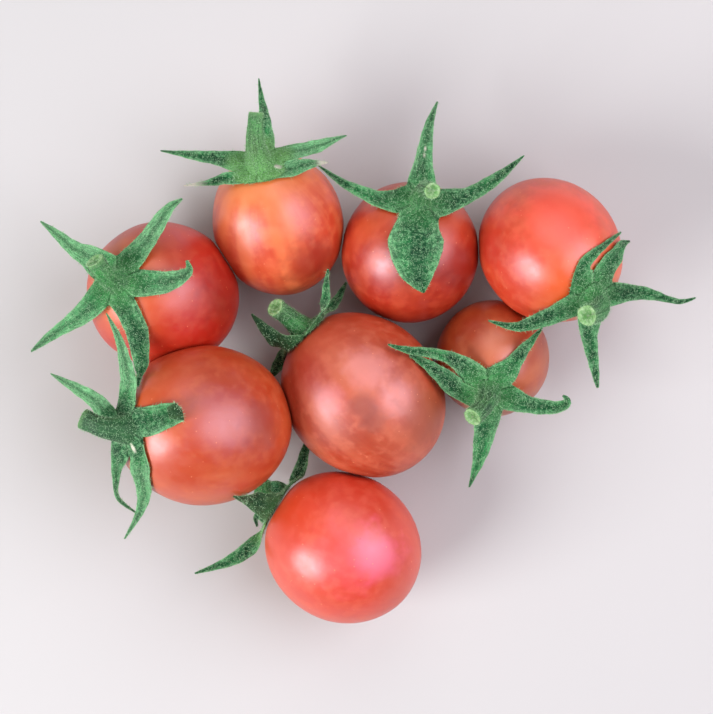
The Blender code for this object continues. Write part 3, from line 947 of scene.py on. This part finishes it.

# Patches where a skin is paler, darker or greener, and painted highlights and reflections:
# x, y, radius, colour, strength.
blushesAndHighlights = {
    "upper_left": [(-43.6, 8.0, 3.6, (222, 104, 36), 0.85), (-41.3, 17.8, 2.8, (214, 106, 48), 0.7),
                   (-23.4, 10.5, 6.4, (128, 14, 8), 0.5), (-32.9, -0.1, 3.4, (190, 46, 16), 0.4)],
    "top_left": [(-15.5, 19.6, 2.2, (240, 130, 72), 0.6), (-15.5, 14.7, 2.2, (220, 100, 56), 0.5),
                 (-8.0, 15.5, 5.2, (150, 36, 20), 0.7), (-19.2, 27.6, 3.2, (238, 144, 84), 0.6)],
    "top_middle": [(18.0, 14.7, 5.0, (128, 18, 10), 0.6), (0.8, 21.0, 3.0, (206, 88, 40), 0.5)],
    "top_right": [(34.4, 24.0, 8.0, (252, 92, 64), 0.75), (35.1, 10.5, 4.2, (224, 90, 32), 0.6),
                  (22.9, 18.5, 4.2, (176, 38, 24), 0.5)],
    "small_right": [(24.6, 1.2, 4.2, (206, 118, 78), 0.5), (19.4, 4.7, 3.0, (146, 50, 22), 0.5)],
    # its first three patches, pale pink, are painted highlights
    "middle": [(1.1, -2.9, 4.0, (224, 138, 126), 0.65), (6.7, -8.1, 3.6, (226, 140, 128), 0.65),
               (-5.4, -8.4, 3.2, (222, 130, 128), 0.5), (12.0, -11.6, 6.2, (160, 70, 28), 0.7),
               (0.6, -9.6, 2.8, (142, 58, 38), 0.7), (2.4, -12.0, 2.6, (142, 62, 44), 0.6),
               (-9.0, -4.5, 4.6, (168, 44, 18), 0.55), (-2.0, 8.5, 4.5, (196, 62, 28), 0.5)],
    # its first patch, rose, is a painted reflection
    "lower_left": [(-23.1, -11.6, 6.8, (178, 84, 92), 0.45), (-30.4, -20.1, 5.4, (184, 62, 20), 0.7),
                   (-31.1, -3.6, 4.6, (206, 88, 48), 0.4), (-16.4, -12.0, 4.4, (152, 46, 26), 0.7)],
    # the pink patches at (-1.7, -35.8) and (3.4, -35.6) are painted highlights
    "bottom": [(-1.7, -35.8, 6.8, (240, 92, 98), 0.5), (-13.0, -31.0, 5.2, (208, 62, 24), 0.65),
               (3.4, -35.6, 4.6, (238, 92, 130), 0.6), (6.4, -41.8, 4.6, (208, 84, 56), 0.4)],
}


def skinTop(tomato, x, y):
    # The place on top of a fruit's skin at x, y, come down to from well above.
    point = Vector((x, y, 60.0))
    for _ in range(60):
        point.z -= 0.8 * max(0.0, awayFrom(point, tomato))
    return point


def newMaterial(name):
    material = bpy.data.materials.new(name)
    material.use_nodes = True
    tree = material.node_tree
    place3d = addNode(tree, "ShaderNodeTexCoord").outputs["Object"]
    return material, tree, tree.nodes["Principled BSDF"], place3d


def makeSkin(place, skin):
    material, tree, shader, place3d = newMaterial("skin_" + place)
    way = addAttribute(tree, "skinWay", "Vector")
    fromStem = addAttribute(tree, "fromStem")
    mottle = placeGroup(tree, "mottle", Place=place3d, Scale=85.0, Contrast=1.0)
    bands = placeGroup(tree, "streaks", Way=way, Scale=2.6, Detail=1.0)
    streaks = placeGroup(tree, "streaks", Way=way, Scale=9.0, Detail=4.0)
    specks = placeGroup(tree, "specks", Place=place3d, Scale=900.0, Size=0.15, Share=0.24)
    freckles = placeGroup(tree, "specks", Place=place3d, Scale=240.0, Size=0.07, Share=0.05)
    layers = [
        (mottle["Patches"], skin["patches"], skin["deep"]),
        (bands["Mask"], skin["bands"], skin["pale"]),
        (streaks["Mask"], skin["bands"] * skinLook["streaks"], skin["pale"]),
        (mottle["Fine"], (0.42, 0.68, 0.0, 0.42), skin["pale"]),
        (fromStem, (0.08, 0.36, 0.8, 0.0), skin["stemEnd"]),
    ]
    # Patches of the skin's own colour, and on middle, bottom and lower_left also painted highlights.
    for x, y, radius, tint, strength in blushesAndHighlights[place]:
        middle = skinTop(tomatoes[place], x, y) * mm
        blushAndHighlight = placeGroup(tree, "blushAndHighlight", Place=place3d, Middle=tuple(middle), Size=radius * mm)
        layers.append((blushAndHighlight["Mask"], strength, tint))
    layers += [
        (specks["Mask"], 0.5, skinLook["speck"]),
        (freckles["Mask"], 0.6, skinLook["freckle"]),
        (fromStem, (0.972, 0.99), skinLook["scar"]),
    ]
    height = addMath(tree, "ADD", times(tree, mottle["Fine"], 0.6), times(tree, specks["Mask"], 0.35))
    shiniest, dullest = (value + skin.get("duller", 0.0) for value in skinLook["roughness"])
    setInputs(tree, shader, {
        "Base Color": addLayers(tree, colour(*skin["flesh"]), layers),
        "Roughness": addRange(tree, mottle["Fine"], 0.3, 0.75, shiniest, dullest),
        "Normal": addBump(tree, height, 0.4, 0.12),
        "Subsurface Weight": 0.12, "Subsurface Radius": (1.0, 0.25, 0.12),
        "Subsurface Scale": 2.5 * mm, "IOR": 1.55,
        "Specular IOR Level": 1.0, "Specular Tint": (1.0, 0.90, 0.97, 1.0),
        "Coat Weight": 0.1, "Coat Roughness": 0.3,
    })
    return material


leafLook = {
    "mid": (50, 150, 80), "light": (150, 224, 160), "dark": (2, 58, 32), "rim": (150, 214, 150),
    "hub": (70, 146, 78), "dryTipAndGlint": (226, 226, 208), "yellow": (128, 186, 98),
    "inside": (58, 92, 52), "insideDark": (36, 64, 36),
    "hair": (188, 234, 188), "hairRoot": (112, 168, 112), "sheen": (200, 232, 200),
}
stemLook = {
    "mid": (46, 134, 62), "dark": (16, 74, 36), "grain": (118, 186, 118), "lip": (124, 184, 112),
    "pith": (96, 160, 82), "ring": (136, 192, 120), "wood": (186, 224, 172), "pore": (70, 124, 64),
}


def addGreenGround(tree, place3d, scale, contrast):
    # What sepals and stems share: cloudy greens at two sizes, pale down, and fine dark pores.
    mottle = placeGroup(tree, "mottle", Place=place3d, Scale=scale, Contrast=contrast)
    down = placeGroup(tree, "specks", Place=place3d, Scale=3800.0, Size=0.45, Share=0.5)
    return mottle["Patches"], mottle["Fine"], down["Mask"], addNoise(tree, place3d, 3600.0, 2.0)


def makeLeaf(name, mid, dark, fuzz):
    # fuzz is how much of the paler down and grain, and of the painted light on the margins
    # and on light sepals, the side carries.
    material, tree, shader, place3d = newMaterial(name)
    blade = addAttribute(tree, "blade", "Vector")
    split = addNode(tree, "ShaderNodeSeparateXYZ", {0: blade}).outputs
    across = addMath(tree, "ABSOLUTE", split[0])
    yellow, tone = addAttribute(tree, "yellow"), addAttribute(tree, "tone")
    light, deepest = leafLook["light"], leafLook["dark"]
    patches, fine, down, pores = addGreenGround(tree, place3d, 260.0, 1.2)
    stretch = addNode(tree, "ShaderNodeMapping", {"Scale": (5.0, 0.0, 0.5), "Vector": blade})
    veins = addRange(tree, addNoise(tree, stretch.outputs[0], 1.4, 2.0), 0.35, 0.7)
    nearHub = times(tree, addRange(tree, split[2], -3.5, 3.0, 0.8, 0.0), addRange(tree, tone, 0.0, 0.5))
    rim = times(tree, addRange(tree, across, 0.86, 1.0), addRange(tree, fine, 0.35, 0.6))
    layers = [
        (patches, 1, dark),
        # painted light towards the margins of each folded blade
        (across, (0.35, 1.0, 0.0, 0.4 * fuzz), light),
        # lighter or darker by tone: partly the green's own, partly painted light and shade
        (tone, (0.5, 1.0, 0.0, 0.6 * fuzz), light),
        (tone, (0.0, 0.5, 0.45, 0.0), deepest),
        (fine, (0.4, 0.75, 0.0, 0.6 * fuzz), light),
        (veins, 0.5, deepest),
        # painted shade along the midrib, in the groove of the fold
        (across, (0.0, 0.55, 0.5, 0.0), deepest),
        (nearHub, 1, leafLook["hub"]),
        (yellow, 0.8, leafLook["yellow"]),
        (pores, (0.5, 0.68, 0.0, 0.5), deepest),
        (rim, 0.5 * fuzz, leafLook["rim"]),
        (down, 0.34 * fuzz, leafLook["hair"]),
        # dried tips, and the painted glints of the flecks
        (addAttribute(tree, "dryTipAndGlint"), 1, leafLook["dryTipAndGlint"]),
    ]
    height = addMath(tree, "SUBTRACT", fine, times(tree, pores, 0.8))
    height = addMath(tree, "ADD", height, times(tree, veins, 0.8))
    height = addMath(tree, "ADD", height, times(tree, down, 0.5))
    setInputs(tree, shader, {
        "Base Color": addLayers(tree, colour(*mid), layers),
        "Roughness": addRange(tree, fine, 0.3, 0.7, 0.5, 0.75),
        "Normal": addBump(tree, height, 0.8, 0.2),
        "Specular IOR Level": 0.15, "Sheen Weight": 0.12, "Sheen Roughness": 0.5,
        "Sheen Tint": colour(*leafLook["sheen"]),
    })
    return material


def makeStemGreen():
    material, tree, shader, place3d = newMaterial("stemGreen")
    bark = addAttribute(tree, "bark", "Vector")
    turn, along, cutPlace = addNode(tree, "ShaderNodeSeparateXYZ", {0: bark}).outputs
    yellow, tone = addAttribute(tree, "yellow"), addAttribute(tree, "tone")
    patches, fine, down, pores = addGreenGround(tree, place3d, 300.0, 1.3)
    grainPlace = addNode(tree, "ShaderNodeCombineXYZ", {0: times(tree, turn, 3.0), 1: along}).outputs[0]
    grain = addRange(tree, addNoise(tree, grainPlace, 1.0, 3.0), 0.4, 0.65)
    nearHub = times(tree, addRange(tree, along, 0.0, 0.4, 0.6, 0.0), addRange(tree, tone, 0.0, 0.5))
    shade = addLayers(tree, colour(*stemLook["mid"]), [
        (patches, 1, stemLook["dark"]),
        (grain, 0.45, stemLook["grain"]),
        (nearHub, 1, leafLook["hub"]),
        # darker by the hub's tone: partly the green's own, partly painted shade
        (tone, (0.0, 0.5, 0.55, 0.0), leafLook["dark"]),
        (yellow, 0.7, leafLook["yellow"]),
        (pores, (0.5, 0.64, 0.0, 0.6), leafLook["dark"]),
        (along, (0.88, 1.0, 0.0, 0.4), stemLook["lip"]),
        (down, 0.3, leafLook["hair"]),
    ])
    cut = addLayers(tree, colour(*stemLook["pith"]), [
        (cutPlace, (0.45, 0.7), stemLook["ring"]),
        (fine, (0.42, 0.66, 0.0, 0.7), stemLook["wood"]),
        (pores, (0.52, 0.66, 0.0, 0.5), stemLook["pore"]),
    ])
    height = addMath(tree, "ADD", fine, times(tree, down, 0.5))
    height = addMath(tree, "ADD", height, times(tree, grain, 0.8))
    setInputs(tree, shader, {
        "Base Color": addMix(tree, addRange(tree, cutPlace, 0.9, 0.97, 1.0, 0.0), shade, cut),
        "Normal": addBump(tree, height, 0.8, 0.18),
        "Roughness": 0.62, "Sheen Weight": 0.12, "Sheen Tint": colour(*leafLook["sheen"]),
    })
    return material


def makeHairMaterial():
    material, tree, shader, place3d = newMaterial("leafHair")
    shade = addMix(tree, addNoise(tree, place3d, 420.0, 2.0),
                   colour(*leafLook["hairRoot"]), colour(*leafLook["hair"]))
    setInputs(tree, shader, {"Base Color": shade, "Roughness": 0.55})
    return material


materials = {
    "sepalGreen": makeLeaf("sepalGreen", leafLook["mid"], leafLook["dark"], 1.0),
    "sepalInside": makeLeaf("sepalInside", leafLook["inside"], leafLook["insideDark"], 0.2),
    "stemGreen": makeStemGreen(),
    "leafHair": makeHairMaterial(),
}
print("materials made")

findMiddles()
hairTree, hairSockets = makeHairTree()
for number, (place, tomato) in enumerate(tomatoes.items()):
    tomato["slot"] = skins[place]["slot"]
    makeFruit(place, tomato, makeSkin(place, skins[place]))
    calyx = makeCalyx(place, tomato, number)
    stem = makeStem(place, tomato, number)
    makeHairs(place, (calyx, stem), hairTree, hairSockets, number)
    print("made", place)

studio = {
    "tableColour": (198, 202, 200), "tableSize": 3.0,
    "distance": 0.60,       # of the lights, from the middle
    "lights": {
        "key": {"power": 3.8, "heading": -151, "tilt": 34, "size": 0.36, "tint": (1.0, 0.95, 0.97)},
        "side": {"power": 3.6, "heading": 3, "tilt": 50, "size": 0.64, "tint": (1.0, 0.87, 0.97)},
        "back": {"power": 0.8, "heading": 92, "tilt": 48, "size": 0.50, "tint": (1.0, 0.96, 0.97)},
    },
    "fill": 0.18, "fillTint": (1.0, 0.98, 0.97, 1.0),
    "camera": (-0.5464, -0.9460, 400.0), "sensor": 36.0, "clip": (0.01, 10.0),
    "viewWidth": 127.32, "viewLevel": 13.0,       # width of the view at that height
}


def makeTable():
    bpy.ops.mesh.primitive_plane_add(size=studio["tableSize"])
    table = bpy.context.object
    table.name = "pale_table"
    material = bpy.data.materials.new("paleTable")
    material.use_nodes = True
    tree = material.node_tree
    paint = {"Base Color": colour(*studio["tableColour"]), "Roughness": 0.8}
    setInputs(tree, tree.nodes["Principled BSDF"], paint)
    table.data.materials.append(material)


def makeLight(name, light):
    lamp = bpy.data.lights.new(name, "AREA")
    lamp.shape = "DISK"
    lamp.size = light["size"]
    lamp.energy = light["power"]
    lamp.color = light["tint"]
    away = direction(light["heading"], light["tilt"])
    stand = addObject(name, lamp)
    stand.location = away * studio["distance"]
    stand.rotation_mode = "QUATERNION"
    stand.rotation_quaternion = (-away).to_track_quat("-Z", "Y")


def makeCamera():
    lens = bpy.data.cameras.new("camera")
    lens.sensor_fit = "HORIZONTAL"
    lens.sensor_width = studio["sensor"]
    lens.lens = studio["sensor"] * (studio["camera"][2] - studio["viewLevel"]) / studio["viewWidth"]
    lens.clip_start, lens.clip_end = studio["clip"]
    camera = addObject("camera", lens)
    camera.location = [part * mm for part in studio["camera"]]
    bpy.context.scene.camera = camera


def makeFill():
    world = bpy.data.worlds.new("studio")
    world.use_nodes = True
    fill = {"Color": studio["fillTint"], "Strength": studio["fill"]}
    setInputs(world.node_tree, world.node_tree.nodes["Background"], fill)
    bpy.context.scene.world = world


makeTable()
for name, light in studio["lights"].items():
    makeLight(name, light)
makeFill()
makeCamera()
bpy.context.scene.view_settings.view_transform = "Standard"

print("table, light and camera made")
